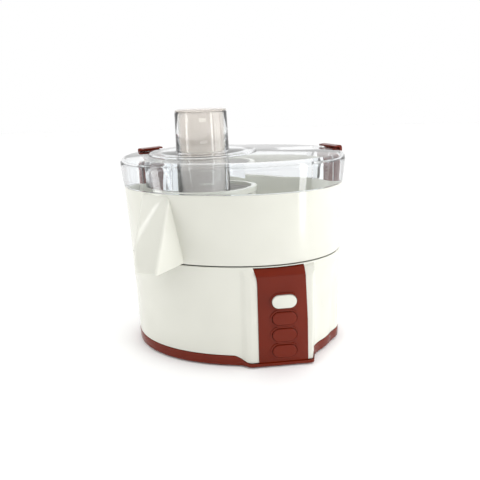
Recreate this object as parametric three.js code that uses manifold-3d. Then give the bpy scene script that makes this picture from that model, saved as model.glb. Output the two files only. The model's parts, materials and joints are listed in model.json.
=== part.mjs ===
// Centrifugal juicer on an oval base: millimetres, +X right, -Y front, +Z up, standing on z = 0.
// The body's plan is a rounded oval; the motor, basket, feed chute and pusher share one upright axis
// left of its middle, and the pulp chamber takes the rest of the oval on the right.
import * as THREE from 'three';
import { ConvexGeometry } from 'three/addons/geometries/ConvexGeometry.js';
import { mergeVertices } from 'three/addons/utils/BufferGeometryUtils.js';
import Module from 'manifold-3d';

const wasm = await Module();
wasm.setup();

// ---------- driving dimensions ----------
const SHIFT_Y = 17.25; // moves the oval's middle so that the whole footprint, spout included, is centred
const OVAL_POWER = 2.14; // exponent of the plan's super-ellipse
const OVAL_DIFFERENCE = 42.5; // long half-axis less short half-axis
const OVAL_STEPS = 48;
const WALL = 2.5; // moulded wall thickness
const GAP = 0.3; // clearance between touching pieces

const TRAY_BOTTOM = 2;
const TRAY_TOP = 15;
const TRAY_HALF_LENGTH = 141;
const HOUSING_HALF_LENGTH = 140.6;
const DECK_TOP = 128; // top of the motor housing's deck
const HOUSING_TOP = 132.3; // top of the lip round the deck
const BOWL_BOTTOM = 133.2;
const BOWL_TOP = 218.2;
const BOWL_HALF_LENGTH = 141.1; // at the bottom; the wall leans out a little
const PULP_FLOOR = 137.4;
const LID_BOTTOM = 218.6;
const LID_TOP = 254.5;

const AXIS_X = -39.2; // motor and basket axis
const AXIS_Y = 7.2;
const SHAFT_RADIUS = 4;
const DRUM_RADIUS = 68.5; // outside of the bowl's inner round wall
const DRUM_TOP = 209;
const DRUM_FLOOR = 158;
const DISC_RADIUS = 70.4; // raised round panel of the lid
const CHUTE_RADIUS = 34.8;
const CHUTE_TOP_RADIUS = 33.6;
const CHUTE_TOP = 307;
const CHUTE_BOTTOM = 179;
const PUSHER_RADIUS = 30.6;
const PUSHER_TOP = 311;
const PUSHER_BOTTOM = 200;

const TOWER_ANGLE = THREE.MathUtils.degToRad(15.6); // turn of the control tower's face towards +X
const PANEL_FRONT = 106; // distance of the panel's face from the oval's middle
const PANEL_BACK = 103;
const TOWER_FRONT = 105.2; // white surround of the panel
const TOWER_FOOT_FRONT = 107.5; // red foot under it
const PANEL_LEFT = 16.2;
const PANEL_RIGHT = 78;
const PANEL_BEND = 121; // height where the panel turns back
const PANEL_TOP = 129;
const TOWER_FOOT = 6.3; // height where the red foot of the tower ends
const BUTTON_LENGTH = 29.5;
const BUTTON_HEIGHT = 16.5;
const BUTTON_HEIGHTS = [88, 66, 44, 22]; // white key first
const BUTTON_MIDDLE = 48.2;

const TUNNEL_X = -72; // middle of the juice tunnel from the drum to the spout
const SPOUT_CORNERS = [ // outer corners of the spout's hood, widest at its open bottom
  [-57, -92.6, 216.5], [-57, -80, 216.5], [-66, -94, 213], [-95, -80, 216.5], [-95, -65, 216.5],
  [-95, -121, 162], [-65, -137, 133.5], [-94.5, -128, 132], [-44, -97, 135.5], [-44, -80, 135.5],
  [-97, -70, 132],
];

const CLAMP_ANGLE = THREE.MathUtils.degToRad(28); // place of the clamps round the oval
const CLAMP_HALF_LENGTH = 143; // oval that the clamps are placed on
const CLAMP_WIDTH = 34;
const CLAMP_PIVOT = 108; // height of the clamp's pin
const RECESS_WIDTH = 40;
const RECESS_DEPTH = 12;

// ---------- small geometry helpers ----------
function solid(geometry) {
  const bare = geometry.clone();
  bare.deleteAttribute('normal');
  bare.deleteAttribute('uv');
  const merged = mergeVertices(bare, 1e-4);
  const p = merged.attributes.position.array;
  const index = merged.index.array;
  const kept = [];
  let volume = 0;
  for (let i = 0; i < index.length; i += 3) {
    const [a, b, c] = [index[i], index[i + 1], index[i + 2]];
    if (a === b || b === c || a === c) continue;
    kept.push(a, b, c);
    const [u, v, w] = [a, b, c].map((k) => new THREE.Vector3(p[3 * k], p[3 * k + 1], p[3 * k + 2]));
    volume += u.dot(v.cross(w));
  }
  if (volume < 0) kept.reverse();
  return new wasm.Manifold(new wasm.Mesh({
    numProp: 3,
    vertProperties: Float32Array.from(p),
    triVerts: Uint32Array.from(kept),
  }));
}

// A round piece from its half profile of [radius, height] corners, on an upright axis at x, y.
function turned(profile, steps = 24, x = AXIS_X, y = AXIS_Y) {
  const points = profile.map(([r, h]) => new THREE.Vector2(r, h));
  const first = points[0];
  const last = points[points.length - 1];
  if (first.x > 0 || last.x > 0) points.push(first.clone());
  return solid(new THREE.LatheGeometry(points, steps).rotateX(Math.PI / 2).translate(x, y, 0));
}

function rod(radius, bottom, top, x = AXIS_X, y = AXIS_Y, steps = 24) {
  return turned([[0, bottom], [radius, bottom], [radius, top], [0, top]], steps, x, y);
}

function ring(inner, outer, bottom, top, x = AXIS_X, y = AXIS_Y, steps = 24) {
  return turned([[inner, bottom], [outer, bottom], [outer, top], [inner, top]], steps, x, y);
}

// How far the wall is drawn in beside the tower: 0 away from it, 1 in the hollow of the sweep.
function hollowBeside(angle) {
  const degrees = THREE.MathUtils.radToDeg(angle);
  const rise = THREE.MathUtils.smoothstep(-degrees, 0, 11);
  const fall = THREE.MathUtils.smoothstep(-degrees, 25, 38);
  return rise * (1 - fall);
}

// An upright solid with the oval plan: rows of [long half-axis, height, share of the side hollow].
function oval(rows) {
  const points = rows.map(([a, h]) => new THREE.Vector2(a, h));
  const geometry = new THREE.LatheGeometry(points, OVAL_STEPS).rotateX(Math.PI / 2);
  const position = geometry.attributes.position;
  const power = 2 / OVAL_POWER;
  for (let i = 0; i < position.count; i += 1) {
    const [a, h, hollow = 0] = rows[i % rows.length];
    const turn = (2 * Math.PI * (Math.floor(i / rows.length) % OVAL_STEPS)) / OVAL_STEPS;
    const b = Math.max(0, a - OVAL_DIFFERENCE);
    let x = a * Math.sign(Math.cos(turn)) * Math.abs(Math.cos(turn)) ** power;
    let y = b * Math.sign(Math.sin(turn)) * Math.abs(Math.sin(turn)) ** power;
    const drawnIn = 1 - 0.048 * hollow * hollowBeside(Math.atan2(y, x));
    x *= drawnIn;
    y *= drawnIn;
    position.setXYZ(i, x, y, h);
  }
  return solid(geometry);
}

// A prism: corners in the plane of two unit axes, swept by depth along their cross product.
function prism(corners, depth, origin, xAxis, yAxis, bevel = 0) {
  const drawn = Array.isArray(corners);
  const shape = drawn ? new THREE.Shape(corners.map(([u, v]) => new THREE.Vector2(u, v))) : corners;
  const geometry = new THREE.ExtrudeGeometry(shape, {
    depth: depth - bevel,
    curveSegments: 5,
    bevelEnabled: bevel > 0,
    bevelThickness: bevel,
    bevelSize: bevel,
    bevelOffset: -bevel,
    bevelSegments: 1,
  });
  const x = new THREE.Vector3(...xAxis);
  const y = new THREE.Vector3(...yAxis);
  const basis = new THREE.Matrix4().makeBasis(x, y, x.clone().cross(y));
  return solid(geometry.applyMatrix4(basis).translate(...origin));
}

const UP = [0, 0, 1];

function planPrism(corners, bottom, top) {
  return prism(corners, top - bottom, [0, 0, bottom], [1, 0, 0], [0, 1, 0]);
}

function box(x0, x1, y0, y1, z0, z1) {
  return planPrism([[x0, y0], [x1, y0], [x1, y1], [x0, y1]], z0, z1);
}

function unite(solids) {
  return solids.reduce((all, next) => all.add(next));
}

// ---------- control tower frame: across (to the right), outwards, up ----------
const ACROSS = [Math.cos(TOWER_ANGLE), Math.sin(TOWER_ANGLE), 0];
const OUTWARDS = [Math.sin(TOWER_ANGLE), -Math.cos(TOWER_ANGLE), 0];

function towerPoint(across, out) {
  return [across * ACROSS[0] + out * OUTWARDS[0], across * ACROSS[1] + out * OUTWARDS[1]];
}

function towerPlan(corners, bottom, top) {
  return planPrism(corners.map(([across, out]) => towerPoint(across, out)), bottom, top);
}

// Corners in across and up, swept outwards from one distance to another.
function towerFacePrism(corners, from, to, bevel = 0) {
  const [x, y] = towerPoint(0, from);
  return prism(corners, to - from, [x, y, 0], ACROSS, UP, bevel);
}

// Corners in outwards and up, swept across from right to left.
function towerSidePrism(corners, left, right) {
  const [x, y] = towerPoint(right, 0);
  return prism(corners, right - left, [x, y, 0], OUTWARDS, UP);
}

function towerOutline(front, grow) {
  const left = [[-20, 60], [-20, 95.5], [-12, 97.6], [-4, 99.6 + grow], [3, front - 1.1], [7.5, front]];
  const right = [[81.5, front], [84.2, front - 0.8], [85.8, front - 2.6], [86.4, 96.8], [88, 92.6]];
  const sweep = [[91, 88], [95.5, 82.7], [101, 77.2], [108, 70.5], [100, 60]];
  return [...left, ...right, ...sweep].map(([across, out]) => [across + (across > 60 ? grow : -grow), out]);
}

// ---------- base ----------
function trayBody() {
  const rim = TRAY_HALF_LENGTH;
  const outer = oval([[0, TRAY_BOTTOM], [rim - 2, TRAY_BOTTOM, 1], [rim - 0.4, 3.2, 1], [rim, 5, 1],
    [rim, TRAY_TOP, 1], [0, TRAY_TOP]]);
  const foot = towerPlan(towerOutline(TOWER_FOOT_FRONT, 0.4), TRAY_BOTTOM, TRAY_TOP);
  const inner = oval([[0, 4.5], [rim - WALL, 4.5, 1], [rim - WALL, 20, 1], [0, 20]]);
  const footInner = towerPlan([[2, 60], [2, 100], [81, 100], [84, 92], [84, 60]], 4.5, 20);
  // The wall steps down in a slope in front of the tower, whose white sides reach lower than the band.
  const step = towerFacePrism([[-14, 16], [-7, 13.6], [3, 8], [8, 6], [85.5, 6], [85.5, 16]], 60, 120);
  return outer.add(foot).subtract(inner).subtract(footInner).subtract(step);
}

const SCREW_PLACES = [[-98, -38], [-98, 50], [98, -20], [98, 50]];
const FOOT_PLACES = [[-88, -58], [-88, 64], [86, -52], [86, 62]];

function baseTray() {
  let tray = trayBody();
  for (const [x, y] of SCREW_PLACES) {
    tray = tray.add(rod(7, 4, 9, x, y, 16));
    tray = tray.subtract(rod(4.3, 1, 6.6, x, y, 12)).subtract(rod(2.1, 1, 12, x, y, 12));
  }
  for (const [x, y] of FOOT_PLACES) tray = tray.subtract(rod(3.7, 1, 6, x, y, 12));
  for (let i = -2; i <= 2; i += 1) {
    const x = AXIS_X + i * 9;
    tray = tray.subtract(box(x - 2, x + 2, AXIS_Y - 26, AXIS_Y + 26, 1, 6));
  }
  return tray;
}

function rubberFoot([x, y]) {
  const profile = [[0, 0], [7.6, 0], [9, 0.9], [9, 1.7], [3.4, 1.7], [3.4, 4.8], [5, 4.8], [3, 7.4],
    [0, 7.4]];
  return turned(profile, 16, x, y);
}

function baseScrew([x, y]) {
  const profile = [[0, 4.3], [3.9, 4.3], [3.9, 6.3], [1.7, 6.3], [1.7, 20], [0.6, 22], [0, 22]];
  return turned(profile, 12, x, y).subtract(box(x - 3, x + 3, y - 0.5, y + 0.5, 4, 5.1));
}

// ---------- clamp frame on each rear corner ----------
function clampFrame(side) {
  const power = 2 / OVAL_POWER;
  const long = CLAMP_HALF_LENGTH;
  const short = long - OVAL_DIFFERENCE;
  const x = long * Math.cos(CLAMP_ANGLE) ** power;
  const y = short * Math.sin(CLAMP_ANGLE) ** power;
  const normal = new THREE.Vector2(Math.cos(CLAMP_ANGLE) / long, Math.sin(CLAMP_ANGLE) / short);
  normal.normalize();
  return { x: side * x, y, out: [side * normal.x, normal.y, 0] };
}

// Corners in outwards and up at one clamp, swept along the wall over a width centred on the clamp.
function clampPrism(side, corners, width) {
  const frame = clampFrame(side);
  const [nx, ny] = frame.out;
  const along = [ny, -nx];
  const origin = [frame.x - (along[0] * width) / 2, frame.y - (along[1] * width) / 2, 0];
  return prism(corners, width, origin, frame.out, UP);
}

function clampBlock(side, inner, outer, bottom, top, width) {
  return clampPrism(side, [[inner, bottom], [outer, bottom], [outer, top], [inner, top]], width);
}

function recessVoids(bottom, top) {
  return unite([-1, 1].map((side) => clampBlock(side, -RECESS_DEPTH, 30, bottom, top, RECESS_WIDTH)));
}

function recessWalls(bottom, top) {
  const deep = -RECESS_DEPTH - WALL;
  return unite([-1, 1].map((side) => clampBlock(side, deep, 30, bottom, top, RECESS_WIDTH + 2 * WALL)));
}

function crossRod(side, radius, out, height, length, steps = 20) {
  const frame = clampFrame(side);
  const [nx, ny] = frame.out;
  const geometry = new THREE.CylinderGeometry(radius, radius, length, steps);
  geometry.rotateZ(Math.PI / 2).rotateZ(Math.atan2(-nx, ny));
  return solid(geometry.translate(frame.x + nx * out, frame.y + ny * out, height));
}

// ---------- motor housing ----------
function housingOuter() {
  const a = HOUSING_HALF_LENGTH;
  const low = TRAY_TOP + 0.4;
  const body = oval([[0, low], [a, low, 1], [a + 0.1, 70, 1], [a + 0.5, 122, 0],
    [a + 0.4, 131.2, 0], [a - 0.6, HOUSING_TOP, 0], [0, HOUSING_TOP]]);
  const tower = towerPlan(towerOutline(TOWER_FRONT, 0), TOWER_FOOT + 0.1, 130);
  const above = [[TOWER_FRONT, 119.8], [101, 128.4], [94, 130.6], [94, 140], [130, 140], [130, 119.8]];
  const slope = towerSidePrism(above, -30, 120);
  const keep = towerFacePrism([[-13.6, 16.2], [-6.6, 14.2], [3.2, 8.4], [8.2, TOWER_FOOT], [85.2, TOWER_FOOT],
    [85.2, 15.4], [140, 15.4], [140, 140], [-40, 140], [-40, 16.2]], 40, 130);
  return body.add(tower.subtract(slope).intersect(keep));
}

function ventSlots() {
  const slots = [];
  for (let i = 0; i < 6; i += 1) {
    const x = -66 + i * 10;
    slots.push(box(x - 2, x + 2, 70, 110, 40, 82));
  }
  return unite(slots);
}

function motorHousing() {
  const a = HOUSING_HALF_LENGTH - WALL;
  const room = oval([[0, 5], [a, 5, 1], [a, 70, 1], [a, DECK_TOP - 3, 0], [0, DECK_TOP - 3]]);
  const towerRoom = towerPlan([[6, 60], [6, 99.6], [80, 99.6], [83.4, 92], [83.4, 60]], 0, 112);
  const top = oval([[0, DECK_TOP], [a, DECK_TOP], [a, 140], [0, 140]]);
  const backing = towerPlan([[8, 94], [8, 102], [78, 102], [78, 94]], 112, 131).intersect(housingOuter());
  const back = PANEL_BACK - GAP;
  const high = PANEL_TOP + GAP;
  const behind = towerSidePrism([[back, 0], [130, 0], [130, high], [98.9, high], [98.9, 128], [back, 119.6]], 0, 90);
  const inlay = towerFacePrism(panelOutline(GAP), 90, 130).intersect(behind);
  let housing = housingOuter();
  const walls = recessWalls(CLAMP_PIVOT - 12.5, DECK_TOP - 1).intersect(housing);
  housing = housing.subtract(room.subtract(walls)).subtract(towerRoom).subtract(top);
  housing = housing.add(backing).subtract(inlay);
  housing = housing.subtract(recessVoids(CLAMP_PIVOT - 10, 140));
  for (const side of [-1, 1]) housing = housing.subtract(crossRod(side, 1.55, -6, CLAMP_PIVOT, 43.6));
  housing = housing.subtract(towerFacePrism(rectangle(30, 66.5, 12, 98), 80, 110));
  for (const [x, y] of SCREW_PLACES) {
    housing = housing.add(rod(5, 9.3, DECK_TOP - 2, x, y, 12)).subtract(rod(1.75, 5, 24, x, y, 12));
  }
  for (const [x, y] of BRACKET_PLACES) housing = housing.add(rod(4.5, 113.3, DECK_TOP - 2, x, y, 12));
  housing = housing.add(ring(9.6, 14, DECK_TOP - 1, 131.5)).subtract(rod(9.6, 120, 140));
  housing = housing.subtract(ventSlots());
  return housing.subtract(inletRod(6.2));
}

function rectangle(left, right, bottom, top) {
  return [[left, bottom], [right, bottom], [right, top], [left, top]];
}

// ---------- control panel and keys ----------
function panelOutline(grow) {
  return [[PANEL_LEFT - grow, TOWER_FOOT - 1], [PANEL_RIGHT + grow, TOWER_FOOT - 1], [77.2 + grow, 62],
    [74.3 + grow, PANEL_BEND], [73 + grow, PANEL_TOP + 8], [12 - grow, PANEL_TOP + 8],
    [12.2 - grow, PANEL_TOP], [15.2 - grow, PANEL_BEND], [PANEL_LEFT - grow, 104]];
}

function stadium(length, height, middle) {
  const shape = new THREE.Shape();
  const r = height / 2;
  const reach = length / 2 - r;
  shape.moveTo(BUTTON_MIDDLE - reach, middle - r);
  shape.lineTo(BUTTON_MIDDLE + reach, middle - r);
  shape.absarc(BUTTON_MIDDLE + reach, middle, r, -Math.PI / 2, Math.PI / 2, false);
  shape.lineTo(BUTTON_MIDDLE - reach, middle + r);
  shape.absarc(BUTTON_MIDDLE - reach, middle, r, Math.PI / 2, (3 * Math.PI) / 2, false);
  return shape;
}

function controlPanel() {
  const low = TOWER_FOOT + 0.1;
  const side = [[PANEL_BACK, low], [PANEL_FRONT, low], [PANEL_FRONT, PANEL_BEND], [102.2, PANEL_TOP],
    [99.4, PANEL_TOP], [99.4, 128.2], [PANEL_BACK, 120]];
  let panel = towerSidePrism(side, 0, 90).intersect(towerFacePrism(panelOutline(0), 90, 110));
  for (const z of BUTTON_HEIGHTS) {
    const collar = stadium(BUTTON_LENGTH + 4, BUTTON_HEIGHT + 4, z);
    panel = panel.add(towerFacePrism(collar, PANEL_BACK + 1, PANEL_FRONT + 1, 0.6));
  }
  for (const z of BUTTON_HEIGHTS) {
    panel = panel.subtract(towerFacePrism(stadium(BUTTON_LENGTH + 0.8, BUTTON_HEIGHT + 0.8, z), 90, 120));
  }
  return panel;
}

function button(z) {
  const cap = towerFacePrism(stadium(BUTTON_LENGTH, BUTTON_HEIGHT, z), 100.4, PANEL_FRONT + 2.2, 1.1);
  const stem = towerFacePrism(rectangle(BUTTON_MIDDLE - 4, BUTTON_MIDDLE + 4, z - 3.5, z + 3.5), 90, 101.5);
  return cap.add(stem);
}

function switchBank() {
  let bank = towerFacePrism(rectangle(32, 64.5, 12.6, 97.4), 64, 85);
  for (const z of BUTTON_HEIGHTS) {
    const way = rectangle(BUTTON_MIDDLE - 5, BUTTON_MIDDLE + 5, z - 4.5, z + 4.5);
    bank = bank.subtract(towerFacePrism(way, 80, 90));
  }
  return bank;
}

// ---------- cord inlet bush through the rear wall ----------
function inletRod(radius) {
  const geometry = new THREE.CylinderGeometry(radius, radius, 30, 24);
  return solid(geometry.translate(20, 92, 28));
}

function cordInlet() {
  const profile = [[3.6, 88], [8, 88], [8, 93.8], [6, 93.8], [6, 98], [8.5, 98.6], [8.5, 100.2], [6.5, 102.2],
    [3.6, 102.2], [3.6, 88]];
  const points = profile.map(([r, y]) => new THREE.Vector2(r, y));
  return solid(new THREE.LatheGeometry(points, 24).translate(20, 0, 28));
}

// ---------- motor ----------
const BRACKET_PLACES = [[AXIS_X - 30, AXIS_Y - 30], [AXIS_X + 30, AXIS_Y - 30], [AXIS_X - 30, AXIS_Y + 30],
  [AXIS_X + 30, AXIS_Y + 30]];
const BOLT_PLACES = [[AXIS_X - 41, AXIS_Y], [AXIS_X + 41, AXIS_Y]];

function upperBracket() {
  let plate = box(AXIS_X - 46, AXIS_X + 46, AXIS_Y - 36, AXIS_Y + 36, 110, 113);
  plate = plate.add(rod(13, 108, 120)).subtract(rod(9.05, 111, 130)).subtract(rod(5, 100, 130));
  for (const [x, y] of BOLT_PLACES) plate = plate.subtract(rod(2.3, 100, 120, x, y, 12));
  return plate;
}

function lowerBracket() {
  let plate = box(AXIS_X - 46, AXIS_X + 46, AXIS_Y - 12, AXIS_Y + 12, 33, 36);
  plate = plate.add(rod(13, 30, 38)).subtract(rod(9.05, 20, 37)).subtract(rod(5, 20, 50));
  for (const [x, y] of BOLT_PLACES) plate = plate.subtract(rod(2.3, 20, 50, x, y, 12));
  return plate;
}

function motorBolt([x, y]) {
  const profile = [[0, 29], [4, 29], [4, 32.8], [2, 32.8], [2, 113.3], [4, 113.3], [4, 116.5], [0, 116.5]];
  return turned(profile, 12, x, y);
}

function stator() {
  const outline = box(AXIS_X - 34, AXIS_X + 34, AXIS_Y - 36, AXIS_Y + 36, 50, 84);
  return outline.intersect(rod(38, 40, 90)).subtract(rod(22.6, 40, 90));
}

function armature() {
  let core = rod(22.1, 50, 84).subtract(rod(4.05, 40, 90));
  for (let i = 0; i < 12; i += 1) {
    const turn = (i * Math.PI) / 6;
    const slot = new THREE.BoxGeometry(8, 2.4, 60).translate(21, 0, 67);
    core = core.subtract(solid(slot.rotateZ(turn).translate(AXIS_X, AXIS_Y, 0)));
  }
  return core;
}

function carbonBrush(side) {
  const x = AXIS_X + side * 21;
  return box(x - 9.6, x + 9.6, AXIS_Y - 4, AXIS_Y + 4, 97, 106);
}

function coolingFan() {
  let fan = rod(9, 12, 24).add(rod(34, 22.5, 24));
  for (let i = 0; i < 9; i += 1) {
    const turn = (i * 2 * Math.PI) / 9;
    const blade = new THREE.BoxGeometry(26, 1.4, 11).translate(21, 0, 17.5);
    fan = fan.add(solid(blade.rotateZ(turn).translate(AXIS_X, AXIS_Y, 0)));
  }
  return fan.subtract(rod(4.05, 0, 40));
}

function driveCoupling() {
  return rod(8, 142, 165, AXIS_X, AXIS_Y, 6).subtract(rod(4.05, 130, 158.4));
}

// ---------- juice bowl ----------
function bowlOuter() {
  const a = BOWL_HALF_LENGTH;
  return oval([[0, BOWL_BOTTOM], [a - 0.8, BOWL_BOTTOM], [a, BOWL_BOTTOM + 1.2], [a + 1.3, BOWL_TOP],
    [0, BOWL_TOP]]);
}

function juiceBowl() {
  const outer = bowlOuter();
  const a = BOWL_HALF_LENGTH - WALL;
  let room = oval([[0, PULP_FLOOR], [a - 3, PULP_FLOOR], [a, PULP_FLOOR + 3], [a + 1.3, 225], [0, 225]]);
  room = room.subtract(recessWalls(120, 230)).subtract(rod(DRUM_RADIUS, 120, DRUM_TOP, AXIS_X, AXIS_Y, 40));
  const tunnel = box(TUNNEL_X - 14, TUNNEL_X + 14, -120, -45, 155, 180).intersect(outer);
  let bowl = outer.subtract(room).add(tunnel);
  bowl = bowl.subtract(rod(DRUM_RADIUS - WALL, DRUM_FLOOR, 230, AXIS_X, AXIS_Y, 40));
  bowl = bowl.subtract(rod(DRUM_RADIUS - WALL, 120, DRUM_FLOOR - 3, AXIS_X, AXIS_Y, 40));
  bowl = bowl.add(ring(12, 14.5, DRUM_FLOOR - 1.5, 166)).subtract(rod(12, 120, 200));
  bowl = bowl.subtract(box(TUNNEL_X - 11.5, TUNNEL_X + 11.5, -120, -40, DRUM_FLOOR, 177));
  return bowl.subtract(recessVoids(120, 230));
}

function spoutHull(scale) {
  const middle = new THREE.Vector3(-70, -80, 100);
  const corners = SPOUT_CORNERS.map((corner) => new THREE.Vector3(...corner));
  const scaled = corners.map((corner) => corner.sub(middle).multiplyScalar(scale).add(middle));
  return solid(new ConvexGeometry(scaled));
}

function juiceSpout() {
  const bowlSide = oval([[0, 100], [141.4, 100], [141.4, BOWL_BOTTOM], [142.8, 240], [0, 240]]);
  return spoutHull(1).subtract(spoutHull(0.93)).subtract(bowlSide);
}

// ---------- basket ----------
function basketRim() {
  return turned([[62.9, 211.4], [67.9, 211.4], [67.9, 209.8], [69.9, 209.8], [69.9, 215.4], [69.1, 216.4],
    [62.9, 216.4]], 40);
}

function filterMesh() {
  return turned([[56.6, 172.4], [57.6, 172.4], [64, 211], [63.1, 211]], 40);
}

function basketBase() {
  const plate = turned([[0, 160.4], [10.8, 160.4], [10.8, 168.4], [15.6, 168.4], [15.6, 160.4], [18, 160.4],
    [18, 168.4], [57, 168.4], [58.6, 169.4], [58.6, 172], [55, 172], [55, 171.2], [0, 171.2]], 36);
  return plate.subtract(rod(8.4, 150, 166, AXIS_X, AXIS_Y, 6));
}

function graterDisc() {
  let disc = turned([[0, 171.5], [54.6, 171.5], [54.6, 172.7], [8, 172.7], [6, 174.2], [0, 174.2]], 36);
  for (let i = 0; i < 24; i += 1) {
    const turn = (i * 2 * Math.PI) / 8 + Math.floor(i / 8) * 0.25;
    const reach = 20 + Math.floor(i / 8) * 12;
    const tooth = new THREE.ConeGeometry(1, 2.4, 4).rotateX(Math.PI / 2).translate(reach, 0, 173.6);
    disc = disc.add(solid(tooth.rotateZ(turn).translate(AXIS_X, AXIS_Y, 0)));
  }
  return disc;
}

// ---------- lid and pusher ----------
function lidOuter() {
  return oval([[0, LID_BOTTOM], [143, LID_BOTTOM], [145, 243], [144.4, 249.6], [142.4, 253], [139, LID_TOP],
    [0, LID_TOP]]);
}

function juicerLid() {
  const outer = lidOuter();
  let room = oval([[0, 218], [140.8, 218], [142.8, 243], [142, 248.4], [138, 252.1], [0, 252.1]]);
  room = room.subtract(recessWalls(200, 260));
  const disc = turned([[0, 252.4], [DISC_RADIUS, 252.4], [DISC_RADIUS, 256.4], [DISC_RADIUS - 1.2, 257.4],
    [0, 257.4]], 48);
  const discRoom = rod(DISC_RADIUS - 2.4, 240, 255, AXIS_X, AXIS_Y, 48);
  const guide = ring(74, 76.2, 224, 253, AXIS_X, AXIS_Y, 40);
  const exit = planPrism([[AXIS_X, AXIS_Y], [AXIS_X + 100, AXIS_Y - 137], [AXIS_X + 160, AXIS_Y - 137],
    [AXIS_X + 160, AXIS_Y + 137], [AXIS_X + 100, AXIS_Y + 137]], 200, 252.2);
  const chute = turned([[0, CHUTE_BOTTOM], [CHUTE_RADIUS, CHUTE_BOTTOM], [CHUTE_RADIUS, 257],
    [CHUTE_TOP_RADIUS, CHUTE_TOP], [0, CHUTE_TOP]], 32);
  const bore = turned([[0, 170], [CHUTE_RADIUS - 2.2, 170], [CHUTE_RADIUS - 2.2, 257],
    [CHUTE_TOP_RADIUS - 2.2, 310], [0, 310]], 32);
  let lid = outer.subtract(room).add(disc).subtract(discRoom).add(guide.subtract(exit));
  lid = lid.add(chute).subtract(bore);
  return lid.subtract(recessVoids(200, 250));
}

function pusher() {
  const r = PUSHER_RADIUS;
  return turned([[0, 306], [r - 2.2, 304], [r - 2.2, PUSHER_BOTTOM], [r, PUSHER_BOTTOM], [r, CHUTE_TOP + 0.4],
    [33.2, CHUTE_TOP + 0.4], [33.4, 308.6], [31.8, 309.8], [24, 310.6], [0, PUSHER_TOP]], 32);
}

// ---------- clamps ----------
function clampArm(side) {
  const back = 1.9;
  const front = 5;
  const top = 257.8;
  const arm = clampPrism(side, [[-6.5, 255], [back, 255], [back, 240], [back, 120], [-4, 113], [-4, 103.6],
    [-1, 103.4], [3, 105.4], [front, 112], [front, 150], [front + 0.8, 200], [front + 0.8, 254],
    [front - 0.6, top - 1.2], [front - 2.6, top], [-6.5, top - 0.8]], CLAMP_WIDTH);
  const barrel = crossRod(side, 4.8, -6, CLAMP_PIVOT, CLAMP_WIDTH);
  return arm.add(barrel).subtract(crossRod(side, 1.55, -6, CLAMP_PIVOT, 60));
}

function clampPin(side) {
  return crossRod(side, 1.5, -6, CLAMP_PIVOT, 43);
}

// ---------- assembly ----------
const juicer = new THREE.Group();

function node(name, piece, color, roughness = 0.35, metalness = 0) {
  const mesh = piece.getMesh();
  const geometry = new THREE.BufferGeometry();
  geometry.setAttribute('position', new THREE.BufferAttribute(mesh.vertProperties, 3));
  geometry.setIndex(new THREE.BufferAttribute(mesh.triVerts, 1));
  geometry.translate(0, SHIFT_Y, 0);
  geometry.computeVertexNormals();
  const material = new THREE.MeshStandardMaterial({ color, roughness, metalness });
  const part = new THREE.Mesh(geometry, material);
  part.name = name;
  juicer.add(part);
}

const WHITE = '#f0f0ea';
const RED = '#7e3a2e';
const CLEAR = '#dfe4e6';
const STEEL = '#b4b6b8';
const COPPER = '#a5592c';
const DARK = '#2b2b2d';
const CORNERS = ['front_left', 'rear_left', 'front_right', 'rear_right'];

node('base_tray', baseTray(), RED);
FOOT_PLACES.forEach((place, i) => node(`foot_${CORNERS[i]}`, rubberFoot(place), DARK, 0.9));
SCREW_PLACES.forEach((place, i) => node(`base_screw_${CORNERS[i]}`, baseScrew(place), STEEL, 0.3, 1));
node('motor_housing', motorHousing(), WHITE);
node('control_panel', controlPanel(), RED);
['stop', 'pulse', 'low', 'high'].forEach((key, i) => {
  node(`button_${key}`, button(BUTTON_HEIGHTS[i]), i ? RED : WHITE);
});
node('switch_bank', switchBank(), DARK, 0.6);
node('cord_inlet', cordInlet(), DARK, 0.8);
node('shaft_seal', ring(4.4, 9.2, 128.6, 131.4, AXIS_X, AXIS_Y, 24), DARK, 0.8);
node('motor_bracket_upper', upperBracket(), STEEL, 0.4, 1);
node('motor_bracket_lower', lowerBracket(), STEEL, 0.4, 1);
node('bearing_upper', ring(4.05, 9, 111.2, 118, AXIS_X, AXIS_Y, 24), STEEL, 0.2, 1);
node('bearing_lower', ring(4.05, 9, 30.2, 36.8, AXIS_X, AXIS_Y, 24), STEEL, 0.2, 1);
node('stator_stack', stator(), STEEL, 0.5, 1);
node('field_coil_upper', ring(24.5, 33, 84.5, 93), COPPER, 0.4, 1);
node('field_coil_lower', ring(24.5, 33, 41, 49.5), COPPER, 0.4, 1);
node('carbon_brush_left', carbonBrush(-1), DARK, 0.7);
node('carbon_brush_right', carbonBrush(1), DARK, 0.7);
BOLT_PLACES.forEach((place, i) => {
  node(`motor_bolt_${['left', 'right'][i]}`, motorBolt(place), STEEL, 0.3, 1);
});
node('motor_shaft', rod(SHAFT_RADIUS, 10, 158, AXIS_X, AXIS_Y, 24), STEEL, 0.2, 1);
node('armature', armature(), STEEL, 0.5, 1);
node('commutator', ring(4.05, 11, 95, 108, AXIS_X, AXIS_Y, 24), COPPER, 0.3, 1);
node('cooling_fan', coolingFan(), DARK, 0.5);
node('drive_coupling', driveCoupling(), DARK, 0.5);
node('juice_bowl', juiceBowl(), WHITE);
node('juice_spout', juiceSpout(), WHITE);
node('basket_base', basketBase(), WHITE);
node('filter_mesh', filterMesh(), STEEL, 0.35, 1);
node('grater_disc', graterDisc(), STEEL, 0.25, 1);
node('basket_rim', basketRim(), WHITE);
node('juicer_lid', juicerLid(), CLEAR, 0.05);
node('food_pusher', pusher(), '#b9aca0', 0.2);
for (const [side, word] of [[-1, 'left'], [1, 'right']]) {
  node(`clamp_${word}`, clampArm(side), RED);
  node(`clamp_pin_${word}`, clampPin(side), STEEL, 0.2, 1);
}

export default juicer;
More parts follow.
